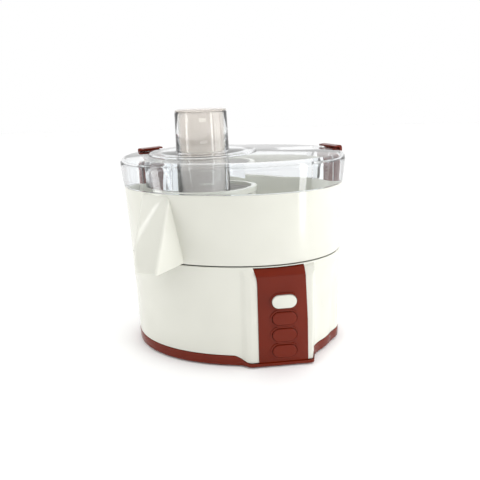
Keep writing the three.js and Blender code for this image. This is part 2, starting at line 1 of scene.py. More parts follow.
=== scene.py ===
# %% [markdown]
# # A centrifugal juicer, finished in Blender
# The machine stands on an oval motor base with a flared control tower. A white juice bowl with a
# hooded spout sits on it, a steel basket spins in the bowl, and a clear lid carries the feed chute.
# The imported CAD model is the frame: it fixes every size and every moving body. Each lesson step
# below swaps a coarse frame piece for a finished one, or gives a frame piece its real material.

# %% Load the frame
import json
import math
import bpy
from mathutils import Matrix, Vector

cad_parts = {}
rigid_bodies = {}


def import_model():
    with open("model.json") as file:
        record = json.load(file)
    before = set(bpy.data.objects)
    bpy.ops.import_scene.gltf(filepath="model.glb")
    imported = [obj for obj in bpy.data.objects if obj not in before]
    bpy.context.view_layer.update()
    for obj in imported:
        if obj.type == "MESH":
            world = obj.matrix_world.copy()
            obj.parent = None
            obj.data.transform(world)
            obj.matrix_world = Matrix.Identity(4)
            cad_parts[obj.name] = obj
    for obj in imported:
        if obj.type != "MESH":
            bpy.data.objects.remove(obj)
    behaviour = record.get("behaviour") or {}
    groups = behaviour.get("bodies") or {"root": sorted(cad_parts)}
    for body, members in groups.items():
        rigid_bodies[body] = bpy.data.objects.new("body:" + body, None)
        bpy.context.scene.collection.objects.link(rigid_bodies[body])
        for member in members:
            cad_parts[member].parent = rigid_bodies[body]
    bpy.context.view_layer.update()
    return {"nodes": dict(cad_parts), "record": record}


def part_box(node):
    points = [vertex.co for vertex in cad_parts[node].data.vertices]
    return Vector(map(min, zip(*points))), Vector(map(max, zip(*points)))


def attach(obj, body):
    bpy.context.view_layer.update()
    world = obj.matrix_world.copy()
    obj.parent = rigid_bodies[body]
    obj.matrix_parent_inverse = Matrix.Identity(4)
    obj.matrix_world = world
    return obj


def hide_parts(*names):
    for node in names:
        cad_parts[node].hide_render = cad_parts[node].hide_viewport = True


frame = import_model()

# %% [markdown]
# ## Sizes that the pieces share
# Everything is in metres, and a millimetre is written as MM. The basket's axis is read from the
# frame, so the round pieces land on the motor shaft. The oval is a super-ellipse: a little squarer
# than an ellipse, as moulded oval housings are.

# %% Shared sizes
MM = 0.001
low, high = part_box("filter_mesh")
AXIS = Vector(((low.x + high.x) / 2, (low.y + high.y) / 2, 0))
low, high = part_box("juicer_lid")
OVAL_Y = (low.y + high.y) / 2
OVAL_POWER = 2.14
OVAL_DIFFERENCE = 42.5
print("basket axis", tuple(AXIS), "oval middle y", OVAL_Y)

# %% [markdown]
# ## Small modelling helpers
# Operators act on whatever is selected, so every piece starts with nothing selected and is finished
# with its own modifiers applied. `spun` draws half a profile and spins it round the shaft, which is
# how a turned or round moulded piece is drawn. `wrapped` bends a flat grid round the body, because no
# operator follows this oval with its tower.

# %% Helpers for selection and modifiers
def clear_selection():
    if bpy.context.mode != "OBJECT":
        bpy.ops.object.mode_set(mode="OBJECT")
    bpy.ops.object.select_all(action="DESELECT")


def pick(piece):
    clear_selection()
    piece.select_set(True)
    bpy.context.view_layer.objects.active = piece


def edit(piece, kind="VERT"):
    pick(piece)
    bpy.ops.object.mode_set(mode="EDIT")
    bpy.ops.mesh.select_mode(type=kind)
    bpy.ops.mesh.select_all(action="SELECT")


def leave_edit():
    bpy.ops.object.mode_set(mode="OBJECT")


def modify(piece, kind, **settings):
    pick(piece)
    modifier = piece.modifiers.new(kind.lower(), kind)
    for key, value in settings.items():
        setattr(modifier, key, value)
    bpy.ops.object.modifier_apply(modifier=modifier.name)


def settle(piece):
    # A finished piece keeps its place in its mesh, at the origin, unturned and unscaled.
    pick(piece)
    bpy.ops.object.transform_apply(location=True, rotation=True, scale=True)


def clean(piece):
    edit(piece)
    bpy.ops.mesh.remove_doubles(threshold=0.005 * MM)
    bpy.ops.mesh.dissolve_degenerate(threshold=0.002 * MM)
    bpy.ops.mesh.select_all(action="SELECT")
    bpy.ops.mesh.normals_make_consistent(inside=False)
    leave_edit()


def smooth(piece, degrees=32):
    pick(piece)
    bpy.ops.object.shade_smooth_by_angle(angle=math.radians(degrees))


def cut(piece, tool, operation="DIFFERENCE"):
    modify(piece, "BOOLEAN", object=tool, operation=operation, solver="EXACT")
    bpy.data.objects.remove(tool)


def soften(piece, width, segments=3, degrees=35):
    modify(piece, "BEVEL", width=width * MM, segments=segments, limit_method="ANGLE",
           angle_limit=math.radians(degrees), harden_normals=False)
    smooth(piece)


print("helpers ready")

# %% Helpers that make a starting shape
def outline_piece(name, corners, depth, place):
    # A face drawn through corners (in millimetres, in the face's own plane), then extruded.
    clear_selection()
    mesh = bpy.data.meshes.new(name)
    mesh.from_pydata([(u * MM, v * MM, 0) for u, v in corners], [], [tuple(range(len(corners)))])
    piece = bpy.data.objects.new(name, mesh)
    bpy.context.collection.objects.link(piece)
    edit(piece, "FACE")
    bpy.ops.mesh.extrude_region_move(TRANSFORM_OT_translate={"value": (0, 0, depth * MM)})
    bpy.ops.mesh.select_all(action="SELECT")
    bpy.ops.mesh.normals_make_consistent(inside=False)
    leave_edit()
    piece.matrix_world = place
    settle(piece)
    clean(piece)
    return piece


def spun(name, profile, steps=96, closed=True):
    # Half a profile of (radius, height) in millimetres, spun round the basket's axis.
    clear_selection()
    points = [(AXIS.x + r * MM, AXIS.y, h * MM) for r, h in profile]
    count = len(points)
    edges = [(i, i + 1) for i in range(count - 1)]
    if closed:
        edges.append((count - 1, 0))
    mesh = bpy.data.meshes.new(name)
    mesh.from_pydata(points, edges, [])
    piece = bpy.data.objects.new(name, mesh)
    bpy.context.collection.objects.link(piece)
    edit(piece)
    bpy.ops.mesh.spin(steps=steps, angle=2 * math.pi, center=tuple(AXIS), axis=(0, 0, 1))
    leave_edit()
    clean(piece)
    return piece


def wrapped(name, columns, rows, place, closed=True):
    # A flat grid whose columns go round the body and whose rows follow the wall's section.
    clear_selection()
    bpy.ops.mesh.primitive_grid_add(x_subdivisions=columns, y_subdivisions=rows if closed else rows - 1,
                                    size=2)
    piece = bpy.context.object
    piece.name = name
    across = len({round(v.co.x, 5) for v in piece.data.vertices}) - 1
    along = len({round(v.co.y, 5) for v in piece.data.vertices}) - 1
    for vertex in piece.data.vertices:
        column = round((vertex.co.x + 1) / 2 * across) % columns
        row = round((vertex.co.y + 1) / 2 * along) % rows
        x, y, z = place(column, row)
        vertex.co = (x * MM, y * MM + OVAL_Y, z * MM)
    clean(piece)
    return piece


def rod(middle, radius, length, along=None, sides=32):
    # A round bar about its middle, upright unless it is given a direction; its sizes in millimetres.
    clear_selection()
    turn = along.to_track_quat("Z", "Y").to_euler() if along else (0, 0, 0)
    bpy.ops.mesh.primitive_cylinder_add(vertices=sides, radius=radius * MM, depth=length * MM,
                                        location=middle, rotation=turn)
    settle(bpy.context.object)
    return bpy.context.object


print("shape helpers ready")

# %% [markdown]
# ## The plan of the body
# Seen from above, the wall is the oval, pushed out by the control tower at the front right and let
# in behind each clamp at the rear. The tower's face is turned 15.6 degrees to the right, and its
# sides sweep back into the oval. All of it is a distance from the middle in each direction.

# %% Distances round the plan
TURN = math.radians(15.6)
PANEL_FRONT = 106
TOWER_FRONT = 105.2
FOOT_FRONT = 107.5
CLAMP_AT = math.radians(28)
clamp_x = 143 * math.cos(CLAMP_AT) ** (2 / OVAL_POWER)
clamp_y = (143 - OVAL_DIFFERENCE) * math.sin(CLAMP_AT) ** (2 / OVAL_POWER)
clamp_out = Vector((math.cos(CLAMP_AT) / 143, math.sin(CLAMP_AT) / (143 - OVAL_DIFFERENCE))).normalized()


def tower_point(across, out):
    return (across * math.cos(TURN) + out * math.sin(TURN), across * math.sin(TURN) - out * math.cos(TURN))


def curve_through(points, steps=6):
    # A smooth line through the points, as a drawn spline.
    fine = []
    for k in range(len(points) - 1):
        before, start, end, after = (points[max(0, min(len(points) - 1, k + s))] for s in (-1, 0, 1, 2))
        for i in range(steps):
            t = i / steps
            fine.append(tuple(0.5 * (2 * b + (c - a) * t + (2 * a - 5 * b + 4 * c - d) * t * t
                                     + (3 * b - a - 3 * c + d) * t ** 3)
                              for a, b, c, d in zip(before, start, end, after)))
    return fine + [points[-1]]


def tower_outline(front, grow):
    left = curve_through([(-24 - grow, 94), (-17 - grow, 96.8), (-10 - grow, 98.2),
                          (-4 - grow, 99.8 + grow), (1.5 - grow, (101.5 + front) / 2),
                          (5 - grow, front - 0.7), (8 - grow, front)])
    right = curve_through([(81.5 + grow, front), (84.4 + grow, front - 0.9), (85.9 + grow, front - 3.2),
                           (86.4 + grow, 97.4), (88 + grow, 92.6), (91 + grow, 88), (95.5 + grow, 82.7),
                           (101 + grow, 77.2), (108 + grow, 70.5), (116 + grow, 63)])
    return [tower_point(*p) for p in left + right]


def reach_to(outline, angle):
    # Distance from the middle to a drawn line, in one direction; 0 where the line is not met.
    cx, cy = math.cos(angle), math.sin(angle)
    best = 0
    for (x0, y0), (x1, y1) in zip(outline, outline[1:]):
        ex, ey = x1 - x0, y1 - y0
        det = cx * ey - cy * ex
        if abs(det) < 1e-9:
            continue
        reach = (x0 * ey - y0 * ex) / det
        along = (x0 * cy - y0 * cx) / det
        if reach > 0 and -1e-6 <= along <= 1 + 1e-6:
            best = max(best, reach)
    return best


def step(value, start, end):
    t = max(0, min(1, (value - start) / (end - start)))
    return t * t * (3 - 2 * t)


def oval_reach(angle, half, hollow=0):
    a, b = half, half - OVAL_DIFFERENCE
    n = OVAL_POWER
    reach = (abs(math.cos(angle) / a) ** n + abs(math.sin(angle) / b) ** n) ** (-1 / n)
    degrees = -math.degrees(math.atan2(math.sin(angle), math.cos(angle)))
    beside = step(degrees, 0, 11) * (1 - step(degrees, 25, 38))
    return reach * (1 - 0.048 * hollow * beside)


def recess_reach(angle, depth, half_width):
    # Distance to the floor of a clamp recess in this direction, or a long way if there is none.
    side = 1 if math.cos(angle) > 0 else -1
    nx, ny = side * clamp_out.x, clamp_out.y
    cosine = nx * math.cos(angle) + ny * math.sin(angle)
    if cosine < 0.3:
        return 1e3
    reach = (nx * side * clamp_x + ny * clamp_y - depth) / cosine
    along = (reach * math.cos(angle) - side * clamp_x) * -ny + (reach * math.sin(angle) - clamp_y) * nx
    return reach if abs(along) <= half_width else 1e3


def corner_angles(depth, half_width):
    # Directions of the recess's two upright edges on each side.
    found = []
    for side in (-1, 1):
        for end in (-1, 1):
            x = side * (clamp_x - depth * clamp_out.x) - end * clamp_out.y * half_width
            y = clamp_y - depth * clamp_out.y + end * side * clamp_out.x * half_width
            found.append(math.atan2(y, x))
    return found


def column_angles(spacing, corners):
    count = round(360 / spacing)
    plain = [-math.pi + 2 * math.pi * k / count for k in range(count)]
    kept = [a for a in plain if all(abs(a - c) > math.radians(spacing) * 0.6 for c in corners)]
    for corner in corners:
        kept += [corner - 0.0004, corner + 0.0004]
    return sorted(kept)


HOUSING_LINE = tower_outline(TOWER_FRONT, 0)
FOOT_LINE = tower_outline(FOOT_FRONT, 0.4)
ANGLES = column_angles(0.6, corner_angles(12, 22) + corner_angles(14.5, 24.5))
TOWER_REACH = [reach_to(HOUSING_LINE, a) for a in ANGLES]
FOOT_REACH = [reach_to(FOOT_LINE, a) for a in ANGLES]
print("columns round the body", len(ANGLES))

# %% [markdown]
# ## The meeting line of band and housing
# The red band is 15 mm high all round, but in front of the tower it steps down in a soft S to a
# low foot, and the white sides of the tower reach down to it.

# %% Height of the meeting line
def band_top(angle, reach):
    across = reach * (math.cos(angle) * math.cos(TURN) + math.sin(angle) * math.sin(TURN))
    out = reach * (math.cos(angle) * math.sin(TURN) - math.sin(angle) * math.cos(TURN))
    if out < 60:
        return 15.0
    left = step(across, -15, 6)
    right = 1 - step(across, 85.6, 86.4)
    return 15.0 - 8.8 * left * right


def front_limit(angle, front):
    cosine = math.cos(angle) * math.sin(TURN) - math.sin(angle) * math.cos(TURN)
    return front / cosine if cosine > 0.2 else 1e3


def tower_front_at(z):
    if z <= 119.8:
        return 1e3
    if z <= 128.4:
        return TOWER_FRONT - 0.49 * (z - 119.8)
    return 101 - 3.2 * (z - 128.4)


print("band is", band_top(0, 140), "mm high at the side and", round(band_top(-1.1, 108), 2), "at the tower")

# %% [markdown]
# ## Motor housing
# On the real machine this is one thin injection moulding in warm white ABS, open at the bottom.
# It is drawn here as one closed skin: up the outside, over the lip, across the deck to the shaft
# boss, and back down inside. That gives the wall a true thickness, which a single sheet would lack.

# %% Motor housing
def plan_reach(column, half, inset, hollow, line=None, recess=True, front=1e3):
    # Distance to a wall: the oval or the tower, whichever is further, let in behind the clamps.
    angle = ANGLES[column]
    reach = oval_reach(angle, half, hollow)
    if line:
        reach = max(reach, min(line[column], front_limit(angle, front)))
    if recess and inset < 2:
        reach = min(reach, recess_reach(angle, 12, 22))
    elif recess:
        reach = min(reach, recess_reach(angle, 12 + inset, 24.5) + inset)
    return reach - inset


def at(column, reach, z):
    return (reach * math.cos(ANGLES[column]), reach * math.sin(ANGLES[column]), z)


def circle(column, radius, z):
    angle = ANGLES[column]
    return (AXIS.x / MM + radius * math.cos(angle), (AXIS.y - OVAL_Y) / MM + radius * math.sin(angle), z)


def housing_wall(column, z, inset, tower=TOWER_REACH):
    lift = max(0, min(1, (z - 70) / 52))
    recess = z > (98 if inset < 2 else 95.5)
    reach = plan_reach(column, 140.6 + 0.5 * lift, inset, 1 - lift, tower, recess, tower_front_at(z))
    return at(column, reach, z)


RISE = [(0, 0.5), (0.004, 0.1), (0.01, 0), (0.1, 0), (0.35, 0), (0.6, 0), (0.7906, 0), (0.7916, 0),
        (0.9, 0), (1, 0)]
HEAD = ([("wall", 120.2 + 0.6 * k, 0) for k in range(14)]
        + [("wall", 128.6 + 0.25 * k, 0) for k in range(9)]
        + [("wall", 131.2, 0), ("wall", 131.7, 0.25), ("wall", 132, 0.7), ("wall", 132.1, 1.2),
           ("rim", 131.9, 1.8), ("rim", 131.2, 1.9), ("rim", 128.4, 1.9), ("rim", 128, 3.2),
           ("ring", 128, 14), ("ring", 131, 14), ("ring", 131.5, 13.5), ("ring", 131.5, 10),
           ("ring", 131, 9.6), ("ring", 125, 9.6), ("rim", 125, 3.5), ("wall", 124.4, 2.5),
           ("wall", 122, 2.5)])
FALL = [(1, 2.5), (0.7678, 2.5), (0.7668, 2.5), (0.1, 2.5), (0, 2.5)]


def housing_place(column, row):
    bottom = band_top(ANGLES[column], plan_reach(column, 140.6, 0, 1, TOWER_REACH, False)) + 0.4
    if row < len(RISE) or row >= len(RISE) + len(HEAD):
        share, inset = RISE[row] if row < len(RISE) else FALL[row - len(RISE) - len(HEAD)]
        return housing_wall(column, bottom + share * (119.8 - bottom), inset)
    kind, z, size = HEAD[row - len(RISE)]
    if kind == "ring":
        return circle(column, size, z)
    return housing_wall(column, z, size, TOWER_REACH if kind == "wall" else None)


housing = wrapped("housing_shell", len(ANGLES), len(RISE) + len(HEAD) + len(FALL), housing_place)
print("housing faces", len(housing.data.polygons))

# %% [markdown]
# The cooling slots in the rear wall are punched by slides in the mould. They are cut here with one
# upright box each, so that the slots are real holes in the wall.

# %% Cooling slots
def block(name, low, high):
    # A box between two corners, in millimetres from the oval's middle.
    clear_selection()
    middle = [(a + b) / 2 * MM for a, b in zip(low, high)]
    bpy.ops.mesh.primitive_cube_add(size=1, location=(middle[0], middle[1] + OVAL_Y, middle[2]))
    piece = bpy.context.object
    piece.name = name
    piece.scale = [(b - a) * MM for a, b in zip(low, high)]
    settle(piece)
    return piece


for k in range(6):
    x = -66 + 10 * k
    slot_tool = block("slot_tool", (x - 2, 70, 40), (x + 2, 110, 82))
    soften(slot_tool, 1.9, 4, 80)
    cut(housing, slot_tool)
smooth(housing, 30)
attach(housing, "base")
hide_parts("motor_housing")
print("slots cut, faces now", len(housing.data.polygons))

# %% [markdown]
# ## Base band and floor
# The red-brown band and the floor are one tray-shaped moulding that carries the feet and screws. Its
# lower edge is rounded, and its top edge follows the meeting line worked out above.

# %% Base tray
BAND = [("pole", 2), ("low", 3), ("low", 1.1), (2.15, 0.5), (2.6, 0.12), (3.4, 0), ("share", 0.5),
        ("top", -0.5, 0), ("top", -0.15, 0.12), ("top", 0, 0.5), ("top", 0, 2), ("top", -0.15, 2.4),
        ("top", -0.5, 2.5), (6, 2.5), (4.8, 2.8), (4.5, 3.6), ("pole", 4.5)]


def band_place(column, row):
    reach = plan_reach(column, 141, 0, 1, FOOT_REACH, False)
    top = band_top(ANGLES[column], reach)
    kind = BAND[row]
    if kind[0] == "pole":
        return (0, 0, kind[1])
    if kind[0] == "low":
        return at(column, reach - kind[1], 2)
    if kind[0] == "share":
        return at(column, reach, 3.4 + kind[1] * (top - 3.9))
    if kind[0] == "top":
        return at(column, reach - kind[2], top + kind[1])
    return at(column, reach - kind[1], min(kind[0], top - 0.6))


tray = wrapped("base_band", len(ANGLES), len(BAND), band_place, closed=False)
for k in range(-2, 3):
    x = AXIS.x / MM + 9 * k
    cut(tray, block("vent_tool", (x - 2, -18.8, 1), (x + 2, 33.2, 6)))
for x, y in ((-98, -38), (-98, 50), (98, -20), (98, 50)):
    cut(tray, rod((x * MM, y * MM + OVAL_Y, 4 * MM), 4.3, 10))
smooth(tray, 30)
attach(tray, "base")
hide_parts("base_tray")
print("tray faces", len(tray.data.polygons))

# %% [markdown]
# ## Juice bowl
# The bowl is one white moulding: the oval wall, the deep pulp floor on the right, and a round drum
# round the basket that collects juice. Its section is followed as one closed line, then the juice
# tunnel to the spout is joined on and bored through.

# %% Juice bowl
BOWL = ([("wall", 133.6, 1.4), ("wall", 133.65, 0.6), ("wall", 133.9, 0.15), ("wall", 134.5, 0)]
        + [("wall", 145 + 12 * k, 0) for k in range(7)]
        + [("wall", 217.3, 0), ("wall", 217.9, 0.25), ("wall", 218.2, 0.8), ("wall", 218.2, 1.6),
           ("wall", 217.9, 2.3), ("wall", 217.3, 2.5), ("wall", 200, 2.5), ("wall", 142, 2.5),
           ("wall", 139.6, 2.9), ("wall", 138.2, 4.1), ("wall", 137.5, 6), ("ring", 137.4, 71),
           ("ring", 138.2, 69.2), ("ring", 140, 68.5), ("ring", 208.3, 68.5), ("ring", 208.9, 68.1),
           ("ring", 209, 67.4), ("ring", 208.8, 66.4), ("ring", 208.2, 66), ("ring", 160.5, 66),
           ("ring", 158.8, 65.3), ("ring", 158, 63.6), ("ring", 158, 15.2), ("ring", 158.7, 14.5),
           ("ring", 165.4, 14.5), ("ring", 166, 14), ("ring", 166, 12.5), ("ring", 165.5, 12),
           ("ring", 155, 12), ("ring", 155, 65.8), ("ring", 134.7, 65.8), ("wall", 134.7, 4),
           ("wall", 134.5, 2.6), ("wall", 133.8, 2.3)])


def bowl_place(column, row):
    kind, z, size = BOWL[row]
    if kind == "ring":
        return circle(column, size, z)
    return at(column, plan_reach(column, 141.1 + 1.3 * (z - 134.3) / 84, size, 0), z)


bowl = wrapped("bowl_shell", len(ANGLES), len(BOWL), bowl_place)
tunnel = block("tunnel_wall", (-86, -86.5, 155), (-58, -50, 180))
cut(bowl, tunnel, "UNION")
cut(bowl, block("tunnel_bore", (-83.5, -125, 158.2), (-60.5, -42, 177)))
smooth(bowl, 30)
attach(bowl, "bowl")
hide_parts("juice_bowl")
print("bowl faces", len(bowl.data.polygons))

# %% [markdown]
# ## Spout hood
# A thin hood guides the juice down into a glass. It is a hull drawn round a few corner points, opened
# at its bottom and back, given a wall, and trimmed to the bowl it clips on.

# %% Spout hood
SPOUT_CORNERS = [(-57, -92.6, 216.5), (-57, -80, 216.5), (-66, -94, 213), (-95, -80, 216.5),
                 (-95, -65, 216.5), (-95, -121, 162), (-65, -137, 133.5), (-94.5, -128, 132),
                 (-44, -97, 135.5), (-44, -80, 135.5), (-97, -70, 132)]
clear_selection()
mesh = bpy.data.meshes.new("spout_hood")
mesh.from_pydata([(x * MM, y * MM + OVAL_Y, z * MM) for x, y, z in SPOUT_CORNERS], [], [])
spout = bpy.data.objects.new("spout_hood", mesh)
bpy.context.collection.objects.link(spout)
edit(spout)
bpy.ops.mesh.convex_hull()
bpy.ops.mesh.normals_make_consistent(inside=False)
leave_edit()
modify(spout, "BEVEL", width=3.0 * MM, segments=4, limit_method="ANGLE", angle_limit=math.radians(24))
edit(spout, "FACE")
bpy.ops.mesh.select_all(action="DESELECT")
leave_edit()
for face in spout.data.polygons:
    face.select = face.normal.z < -0.75 or face.normal.y > 0.6
bpy.ops.object.mode_set(mode="EDIT")
bpy.ops.mesh.delete(type="FACE")
leave_edit()
modify(spout, "SOLIDIFY", thickness=2.0 * MM, offset=-1)


def plain_oval(name, half_low, half_high, low_z, high_z):
    # A closed oval plug that stands for the outside of the bowl or lid as a trimming tool.
    levels = [("pole", low_z), (half_low, low_z), (half_high, high_z), ("pole", high_z)]

    def place(column, row):
        half, z = levels[row]
        return (0, 0, z) if half == "pole" else at(column, oval_reach(ANGLES[column], half), z)

    return wrapped(name, len(ANGLES), 4, place, closed=False)


cut(spout, plain_oval("spout_trim", 140.9, 142.9, 120, 240))
clean(spout)
smooth(spout, 30)
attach(spout, "bowl")
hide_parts("juice_spout")
print("spout faces", len(spout.data.polygons))

# %% [markdown]
# ## Clear lid
# The lid is one thick clear moulding: a flared skirt with a rounded shoulder, a raised round panel
# over the basket, and the feed chute, which also runs down inside to just above the grater. One closed
# section gives it two true faces, which clear plastic needs, or light would not bend as in a real wall.

# %% Lid
LID = ([("wall", 218.6, 142.5, 0), ("wall", 219.1, 142.95, 0), ("wall", 220, 143.1, 0),
        ("wall", 230, 143.9, 0), ("wall", 238, 144.6, 0), ("wall", 244, 145, 0),
        ("wall", 247, 144.9, 0), ("wall", 249.4, 144.3, 0), ("wall", 249.98, 144.1, 0),
        ("whole", 250, 144.1, 0), ("whole", 251.3, 143.4, 0), ("whole", 252.6, 142.2, 0),
        ("whole", 253.6, 140.7, 0), ("whole", 254.2, 139.2, 0), ("whole", 254.5, 137.4, 0),
        ("ring", 254.5, 72), ("ring", 254.7, 71.2), ("ring", 255.2, 70.6), ("ring", 256.6, 69.6),
        ("ring", 257.1, 69), ("ring", 257.3, 68), ("ring", 257.3, 37), ("ring", 257.8, 35.4),
        ("ring", 259, 34.8), ("ring", 282, 34.2), ("ring", 305.8, 33.65), ("ring", 306.7, 33.4),
        ("ring", 307, 33), ("ring", 307, 32), ("ring", 306.7, 31.6), ("ring", 305.8, 31.4),
        ("ring", 257, 32.6), ("ring", 179.6, 32.6), ("ring", 179, 33), ("ring", 179, 34.4),
        ("ring", 179.6, 34.8), ("ring", 253.4, 34.8), ("ring", 254.7, 35.6), ("ring", 255, 37),
        ("ring", 254.9, 66.4), ("ring", 254.4, 67.4), ("ring", 252.6, 69), ("ring", 252.1, 70.2),
        ("inner", 252.1, 136.9, 0), ("inner", 251.2, 138.7, 0), ("inner", 249.4, 140.7, 0),
        ("inner", 246.8, 142.2, 0), ("inner", 243.6, 142.8, 0), ("inner", 220, 141, 0),
        ("inner", 218.8, 141.1, 0), ("inner", 218.6, 141.5, 0)])


def lid_place(column, row):
    kind, z, size = LID[row][:3]
    if kind == "ring":
        return circle(column, size, z)
    angle = ANGLES[column]
    reach = oval_reach(angle, size)
    if kind == "wall":
        reach = min(reach, recess_reach(angle, 12, 22))
    if kind == "inner":
        reach = min(reach, recess_reach(angle, 14.5, 24.5))
    return at(column, reach, z)


lid = wrapped("clear_lid", len(ANGLES), len(LID), lid_place)
smooth(lid, 38)
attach(lid, "lid")
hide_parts("juicer_lid")
print("lid faces", len(lid.data.polygons))

# %% [markdown]
# Under the lid a curved guide wall hugs the basket and opens to the right, where the pulp flies out.
# It is a circle of points with the open part taken away, drawn upward and given its thickness. Each
# free end is thickened by a round rib, which stiffens a thin moulded wall.

# %% Pulp guide under the lid
GUIDE_RADIUS = 75 * MM
GUIDE_BOTTOM = 219.5
GUIDE_HEIGHT = 32.3
GUIDE_OPENING = math.radians(53)
RIB_AT = math.radians(54)
clear_selection()
bpy.ops.mesh.primitive_circle_add(vertices=180, radius=GUIDE_RADIUS,
                                  location=(AXIS.x, AXIS.y, GUIDE_BOTTOM * MM))
guide = bpy.context.object
guide.name = "pulp_guide"
settle(guide)
edit(guide)
bpy.ops.mesh.select_all(action="DESELECT")
leave_edit()
for vertex in guide.data.vertices:
    turn = math.atan2(vertex.co.y - AXIS.y, vertex.co.x - AXIS.x)
    vertex.select = abs(turn) < GUIDE_OPENING
bpy.ops.object.mode_set(mode="EDIT")
bpy.ops.mesh.delete(type="VERT")
bpy.ops.mesh.select_all(action="SELECT")
bpy.ops.mesh.extrude_region_move(TRANSFORM_OT_translate={"value": (0, 0, GUIDE_HEIGHT * MM)})
leave_edit()
modify(guide, "SOLIDIFY", thickness=2.4 * MM, offset=0)
clean(guide)
for turn in (-RIB_AT, RIB_AT):
    middle = (AXIS.x + GUIDE_RADIUS * math.cos(turn), AXIS.y + GUIDE_RADIUS * math.sin(turn),
              (GUIDE_BOTTOM + GUIDE_HEIGHT / 2) * MM)
    cut(guide, rod(middle, 1.7, GUIDE_HEIGHT, sides=24), "UNION")
soften(guide, 0.5, 3)
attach(guide, "lid")
print("guide faces", len(guide.data.polygons))

# %% [markdown]
# ## Food pusher
# A hollow plug that slides in the chute, closed by a shallow domed cap. It was turned from half a
# profile, since it is round.

# %% Food pusher
pusher = spun("chute_pusher",
              [(0, 306), (20, 305.4), (27.4, 304), (28.4, 302.6), (28.4, 200.4), (28.8, 200),
               (30.2, 200), (30.6, 200.4), (30.6, 306.9), (31, 307.4), (33, 307.4), (33.4, 307.8),
               (33.4, 308.4), (32.8, 309.2), (31, 309.9), (24, 310.5), (12, 310.9), (0, 311)],
              closed=False)
smooth(pusher, 30)
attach(pusher, "pusher")
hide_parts("food_pusher")
print("pusher faces", len(pusher.data.polygons))

# %% [markdown]
# ## Basket
# The spinning basket has four pieces: a white rim, a perforated steel cone, a toothed grater disc
# and a white base whose socket takes the drive. All but the teeth are round, so they are spun.

# %% Basket rim, cone and base
rim = spun("basket_collar",
           [(62.9, 211.4), (67.6, 211.4), (67.9, 211.1), (67.9, 210.1), (68.2, 209.8), (69.6, 209.8),
            (69.9, 210.1), (69.9, 215.4), (69.6, 216.1), (68.9, 216.4), (63.4, 216.4), (62.9, 215.9)])
cone = spun("filter_cone", [(56.6, 172.4), (57.5, 172.4), (63.9, 211), (63.1, 211)])
base = spun("basket_hub",
            [(0, 166), (8.4, 166), (8.4, 160.4), (10.8, 160.4), (10.8, 168.4), (15.6, 168.4),
             (15.6, 160.4), (18, 160.4), (18, 168.4), (56.6, 168.4), (58.2, 169), (58.6, 169.8),
             (58.6, 171.6), (58.2, 172), (55, 172), (54.8, 171.2), (0, 171.2)],
            closed=False)
for piece, node, finish in ((rim, "basket_rim", "white_plastic"), (cone, "filter_mesh", "steel"),
                            (base, "basket_base", "white_plastic")):
    smooth(piece, 30)
    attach(piece, "basket")
    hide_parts(node)
print("rim, cone and base faces", [len(p.data.polygons) for p in (rim, cone, base)])

# %% [markdown]
# The grater teeth are pressed up from the disc as small three-sided points. Each one is a small cone,
# set in one of ten curved rows, and then all are joined to the disc.

# %% Grater disc
disc = spun("grater_plate",
            [(0, 171.5), (54.6, 171.5), (54.6, 172.4), (54.3, 172.7), (8.6, 172.7), (7.4, 173.2),
             (6, 174.2), (0, 174.2)],
            closed=False)
smooth(disc, 30)
teeth = []
for arm in range(10):
    for k in range(9):
        turn = math.radians(36 * arm + 3.2 * k)
        reach = (12 + 4.6 * k) * MM
        clear_selection()
        bpy.ops.mesh.primitive_cone_add(vertices=3, radius1=1.3 * MM, depth=1.9 * MM, end_fill_type="NGON",
                                        location=(AXIS.x + reach * math.cos(turn),
                                                  AXIS.y + reach * math.sin(turn), 173.5 * MM),
                                        rotation=(0, 0, turn))
        teeth.append(bpy.context.object)
clear_selection()
for tooth in teeth + [disc]:
    tooth.select_set(True)
bpy.context.view_layer.objects.active = disc
bpy.ops.object.join()
settle(disc)
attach(disc, "basket")
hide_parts("grater_disc")
print("disc faces", len(disc.data.polygons))

# %% [markdown]
# ## Control panel
# The red-brown panel is a glossy inlay pressed into the tower's face. Its outline was drawn flat,
# extruded inwards, and its top was cut off at a slant so that it follows the housing's shoulder. An
# opening of the same outline is first cut in the housing, with a hair of room. Raised collars ring
# the four key openings.

# %% Control panel
tower_across = Vector((math.cos(TURN), math.sin(TURN), 0))
tower_out = Vector((math.sin(TURN), -math.cos(TURN), 0))
middle_of_oval = Vector((0, OVAL_Y, 0))


def on_tower(out):
    # A drawing plane parallel to the tower's face: across, up, and outwards.
    place = Matrix((tower_across, Vector((0, 0, 1)), tower_out)).transposed().to_4x4()
    place.translation = middle_of_oval + tower_out * out * MM
    return place


LEFT_EDGE = curve_through([(11.9, 131), (13.2, 126.5), (14.6, 122), (15.6, 117), (16.1, 111),
                           (16.2, 104)], 5)
PANEL_OUTLINE = LEFT_EDGE + [(16.2, 6.4), (78, 6.4), (77.2, 62), (74.3, 121), (73.5, 131)]
room = outline_piece("panel_room",
                     [(t + (0.1 if t > 40 else -0.1),
                       z + (0.1 if z > 120 else -3 if z < 7 else 0)) for t, z in PANEL_OUTLINE],
                     15, on_tower(96.9))
cut(housing, room)
smooth(housing, 30)
panel = outline_piece("tower_panel", PANEL_OUTLINE, 9, on_tower(97))


def slice_off(piece, out, z, tilt_out, tilt_up):
    # Cut away what lies beyond a slanting plane on the tower, and close the cut.
    edit(piece)
    bpy.ops.mesh.bisect(plane_co=middle_of_oval + tower_out * out * MM + Vector((0, 0, z * MM)),
                        plane_no=(tower_out * tilt_out + Vector((0, 0, tilt_up))).normalized(),
                        use_fill=True, clear_outer=True)
    leave_edit()
    clean(piece)


slice_off(panel, 106, 120.6, 8, 3.8)
slice_off(panel, 102.2, 129.0, 2.2, 8)

